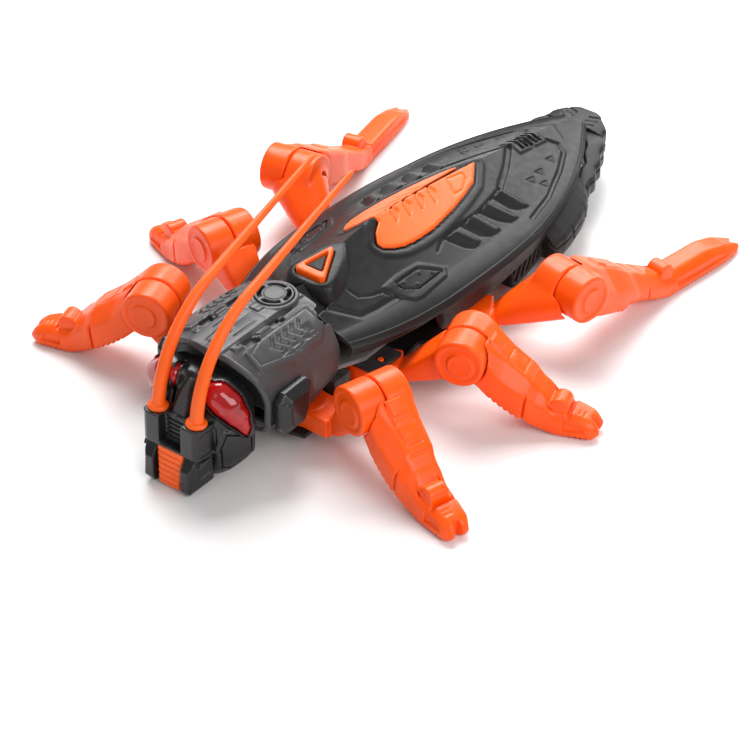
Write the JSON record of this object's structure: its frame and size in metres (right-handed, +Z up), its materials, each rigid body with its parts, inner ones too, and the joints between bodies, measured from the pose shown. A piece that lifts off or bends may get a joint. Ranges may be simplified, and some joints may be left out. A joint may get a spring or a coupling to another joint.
{
  "type": "six-legged walking robot beetle",
  "caption": "Beetle-shaped walking robot: domed shell over a belly tray, jointed orange legs driven by sliding bars, red eyes and long feelers.",
  "frame": {"origin": "on the floor under the middle of the robot's overall box", "axes": "+X forward towards the jaws, +Y the robot's left, +Z up"},
  "size_m": [0.314, 0.2516, 0.1034],
  "materials": {
    "black_shell": "satin moulded ABS, dark charcoal",
    "belly_black": "matte moulded ABS, near black",
    "front_grey": "satin moulded ABS, charcoal grey",
    "head_black": "semi-gloss moulded ABS, black",
    "orange_trim": "satin moulded plastic, bright orange",
    "black_trim": "semi-gloss plastic, black",
    "red_lens": "clear red moulded lens, glossy",
    "lamp_white": "clear epoxy lamp",
    "screw_steel": "zinc plated steel",
    "pin_steel": "dark plated steel",
    "brass_gear": "turned brass",
    "nylon_white": "natural nylon",
    "board_green": "solder mask",
    "cell_wrap": "shrink wrap",
    "frame_grey": "matte moulded plastic",
    "leg_orange": "satin moulded plastic, bright orange"
  },
  "bodies": {
    "chassis": {"top_shell": "black_shell", "top_panel": "orange_trim", "shell_hatches": "black_shell", "tail_bumper": "black_shell", "belly_tray": "belly_black", "battery_door": "belly_black", "door_screw": "screw_steel", "thorax_shell": "front_grey", "side_fenders": "belly_black", "head_shell": "head_black", "mandibles": "head_black", "mouth_insert": "orange_trim", "eye_left": "red_lens", "eye_right": "red_lens", "eye_lamps": "lamp_white", "antenna_left": "orange_trim", "antenna_right": "orange_trim", "speaker_grille": "front_grey", "speaker": "screw_steel", "button_housing": "front_grey", "button_board": "board_green", "gear_deck": "frame_grey", "gear_cover": "frame_grey", "cover_screws": "screw_steel", "battery": "cell_wrap", "circuit_board": "board_green", "motor_left": "screw_steel", "motor_right": "screw_steel"},
    "upper_leg_front_left": {"coxa_front_left": "leg_orange", "knee_pin_front_left": "pin_steel"},
    "lower_leg_front_left": {"shin_front_left": "leg_orange"},
    "upper_leg_mid_left": {"coxa_mid_left": "leg_orange", "knee_pin_mid_left": "pin_steel"},
    "lower_leg_mid_left": {"shin_mid_left": "leg_orange"},
    "upper_leg_rear_left": {"coxa_rear_left": "leg_orange", "knee_pin_rear_left": "pin_steel"},
    "lower_leg_rear_left": {"shin_rear_left": "leg_orange"},
    "bar_left": {"walk_bar_left": "black_trim"},
    "crank_left": {"crank_gear_left": "nylon_white"},
    "compound_left": {"compound_gear_left": "nylon_white"},
    "rotor_left": {"motor_pinion_left": "brass_gear"},
    "upper_leg_front_right": {"coxa_front_right": "leg_orange", "knee_pin_front_right": "pin_steel"},
    "lower_leg_front_right": {"shin_front_right": "leg_orange"},
    "upper_leg_mid_right": {"coxa_mid_right": "leg_orange", "knee_pin_mid_right": "pin_steel"},
    "lower_leg_mid_right": {"shin_mid_right": "leg_orange"},
    "upper_leg_rear_right": {"coxa_rear_right": "leg_orange", "knee_pin_rear_right": "pin_steel"},
    "lower_leg_rear_right": {"shin_rear_right": "leg_orange"},
    "bar_right": {"walk_bar_right": "black_trim"},
    "crank_right": {"crank_gear_right": "nylon_white"},
    "compound_right": {"compound_gear_right": "nylon_white"},
    "rotor_right": {"motor_pinion_right": "brass_gear"},
    "power_button": {"power_button": "orange_trim", "button_core": "black_trim"},
    "slide_switch": {"slide_switch": "black_trim"}
  },
  "joints": [
    {"name": "hip_mid_left", "type": "hinge", "parent": "chassis", "child": "upper_leg_mid_left", "pos_m": [0.0548, 0.024, 0.015], "axis": [0, 0, 1], "range_deg": [-13, 13]},
    {"name": "hip_front_left", "type": "hinge", "parent": "chassis", "child": "upper_leg_front_left", "pos_m": [0.0928, 0.024, 0.015], "axis": [0, 0, 1], "range_deg": [-13.2, 13.2]},
    {"name": "hip_rear_left", "type": "hinge", "parent": "chassis", "child": "upper_leg_rear_left", "pos_m": [0, 0.034, 0.015], "axis": [0, 0, 1], "range_deg": [-13.2, 13.2]},
    {"name": "bar_slide_left", "type": "slide", "parent": "chassis", "child": "bar_left", "axis": [1, 0, 0], "range_m": [-0.00232, 0.00232]},
    {"name": "knee_front_left", "type": "hinge", "parent": "upper_leg_front_left", "child": "lower_leg_front_left", "pos_m": [0.0928, 0.0588, 0.0346], "axis": [0.9542, -0.299, 0], "range_deg": [-20, 30]},
    {"name": "knee_mid_left", "type": "hinge", "parent": "upper_leg_mid_left", "child": "lower_leg_mid_left", "pos_m": [0.0372, 0.0668, 0.032], "axis": [0.9527, 0.304, 0], "range_deg": [-20, 30]},
    {"name": "knee_rear_left", "type": "hinge", "parent": "upper_leg_rear_left", "child": "lower_leg_rear_left", "pos_m": [-0.0262, 0.0766, 0.031], "axis": [0.1685, 0.9857, 0], "range_deg": [-20, 30]},
    {"name": "crank_spin_left", "type": "hinge", "parent": "chassis", "child": "crank_left", "pos_m": [0.03, 0.014, 0.026], "axis": [0, 0, 1], "continuous": true},
    {"name": "compound_spin_left", "type": "hinge", "parent": "chassis", "child": "compound_left", "pos_m": [0.0156, 0.014, 0.028], "axis": [0, 0, 1], "continuous": true},
    {"name": "motor_spin_left", "type": "hinge", "parent": "chassis", "child": "rotor_left", "pos_m": [0.00422, 0.0062, 0.029], "axis": [0, 0, 1], "continuous": true},
    {"name": "hip_mid_right", "type": "hinge", "parent": "chassis", "child": "upper_leg_mid_right", "pos_m": [0.0548, -0.024, 0.015], "axis": [0, 0, 1], "range_deg": [-13, 13]},
    {"name": "hip_front_right", "type": "hinge", "parent": "chassis", "child": "upper_leg_front_right", "pos_m": [0.0928, -0.024, 0.015], "axis": [0, 0, 1], "range_deg": [-13.2, 13.2]},
    {"name": "hip_rear_right", "type": "hinge", "parent": "chassis", "child": "upper_leg_rear_right", "pos_m": [0, -0.034, 0.015], "axis": [0, 0, 1], "range_deg": [-13.2, 13.2]},
    {"name": "bar_slide_right", "type": "slide", "parent": "chassis", "child": "bar_right", "axis": [1, 0, 0], "range_m": [-0.00232, 0.00232]},
    {"name": "knee_front_right", "type": "hinge", "parent": "upper_leg_front_right", "child": "lower_leg_front_right", "pos_m": [0.0928, -0.0588, 0.0346], "axis": [-0.9542, -0.299, 0], "range_deg": [-20, 30]},
    {"name": "knee_mid_right", "type": "hinge", "parent": "upper_leg_mid_right", "child": "lower_leg_mid_right", "pos_m": [0.0372, -0.0668, 0.032], "axis": [-0.9527, 0.304, 0], "range_deg": [-20, 30]},
    {"name": "knee_rear_right", "type": "hinge", "parent": "upper_leg_rear_right", "child": "lower_leg_rear_right", "pos_m": [-0.0262, -0.0766, 0.031], "axis": [-0.1685, 0.9857, 0], "range_deg": [-20, 30]},
    {"name": "crank_spin_right", "type": "hinge", "parent": "chassis", "child": "crank_right", "pos_m": [0.03, -0.014, 0.026], "axis": [0, 0, 1], "continuous": true},
    {"name": "compound_spin_right", "type": "hinge", "parent": "chassis", "child": "compound_right", "pos_m": [0.0156, -0.014, 0.028], "axis": [0, 0, 1], "continuous": true},
    {"name": "motor_spin_right", "type": "hinge", "parent": "chassis", "child": "rotor_right", "pos_m": [0.00422, -0.0062, 0.029], "axis": [0, 0, 1], "continuous": true},
    {"name": "power_press", "type": "slide", "parent": "chassis", "child": "power_button", "axis": [0, 0, -1], "range_m": [0, 0.001], "stiffness_N_per_m": 600},
    {"name": "switch_slide", "type": "slide", "parent": "chassis", "child": "slide_switch", "axis": [1, 0, 0], "range_m": [0, 0.0035]}
  ],
  "couplings": [
    {"joint": "hip_front_left", "follows": "hip_mid_left", "ratio": -1},
    {"joint": "hip_rear_left", "follows": "hip_mid_left", "ratio": -1},
    {"joint": "bar_slide_left", "follows": "hip_mid_left", "m_per_rad": -0.01},
    {"joint": "compound_spin_left", "follows": "motor_spin_left", "ratio": -0.27778},
    {"joint": "crank_spin_left", "follows": "motor_spin_left", "ratio": 0.092593},
    {"joint": "hip_front_right", "follows": "hip_mid_right", "ratio": -1},
    {"joint": "hip_rear_right", "follows": "hip_mid_right", "ratio": -1},
    {"joint": "bar_slide_right", "follows": "hip_mid_right", "m_per_rad": 0.01},
    {"joint": "compound_spin_right", "follows": "motor_spin_right", "ratio": -0.27778},
    {"joint": "crank_spin_right", "follows": "motor_spin_right", "ratio": 0.092593}
  ]
}
